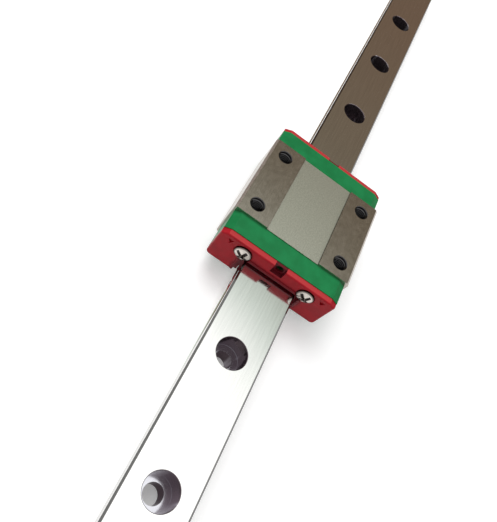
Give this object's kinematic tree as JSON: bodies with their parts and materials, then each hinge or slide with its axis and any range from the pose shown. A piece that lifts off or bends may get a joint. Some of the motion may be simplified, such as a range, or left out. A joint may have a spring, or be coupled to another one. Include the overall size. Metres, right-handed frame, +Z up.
{
  "type": "linear guide rail",
  "caption": "Miniature profile rail with counterbored holes and a short recirculating ball carriage that slides along it, with plastic end caps and end seals.",
  "frame": {"origin": "middle of the rail's underside", "axes": "+X along the rail away from the end that is nearest in the picture, +Y across it to the left seen from that end, +Z up"},
  "size_m": [0.2, 0.027, 0.013],
  "materials": {
    "rail_steel": "ground",
    "block_steel": "ground",
    "cap_plastic": "satin",
    "seal_plastic": "satin",
    "guide_plastic": "matt",
    "wire_steel": "drawn",
    "ball_steel": "polished",
    "screw_plating": "bright"
  },
  "bodies": {
    "rail": {"rail": "rail_steel"},
    "carriage": {"runner_block": "block_steel", "far_end_cap": "cap_plastic", "near_end_cap": "cap_plastic", "far_end_seal": "seal_plastic", "near_end_seal": "seal_plastic", "left_retaining_wire": "wire_steel", "right_retaining_wire": "wire_steel", "far_left_return_guide": "guide_plastic", "far_right_return_guide": "guide_plastic", "near_left_return_guide": "guide_plastic", "near_right_return_guide": "guide_plastic", "far_left_cap_screw": "screw_plating", "far_right_cap_screw": "screw_plating", "near_left_cap_screw": "screw_plating", "near_right_cap_screw": "screw_plating", "left_loaded_balls": "ball_steel", "left_turning_balls": "ball_steel", "left_returning_balls": "ball_steel", "right_loaded_balls": "ball_steel", "right_turning_balls": "ball_steel", "right_returning_balls": "ball_steel"}
  },
  "joints": [
    {"name": "carriage_slide", "type": "slide", "parent": "rail", "child": "carriage", "axis": [1, 0, 0], "range_m": [-0.0545, 0.1107]}
  ]
}
